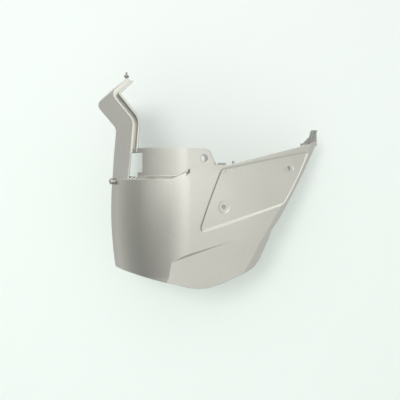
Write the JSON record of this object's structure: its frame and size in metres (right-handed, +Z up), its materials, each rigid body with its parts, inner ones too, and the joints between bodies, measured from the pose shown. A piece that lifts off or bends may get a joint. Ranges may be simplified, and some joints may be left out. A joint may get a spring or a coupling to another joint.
{
  "type": "scooter front fender",
  "caption": "Half of a scooter front fender: rounded nose, flat side wall swept back into a wing with a recessed panel, set-back collar with a bolt ear, and a bent mounting strap.",
  "frame": {"origin": "centre of the ear's bolt hole, on the ear's outer face", "axes": "+X out to the near side along the bolt, +Y to the rear of the scooter, +Z up"},
  "size_m": [0.132, 0.3031, 0.2805],
  "materials": {
    "paint": "satin metallic paint"
  },
  "bodies": {
    "root": {"fender": "paint"}
  },
  "joints": []
}
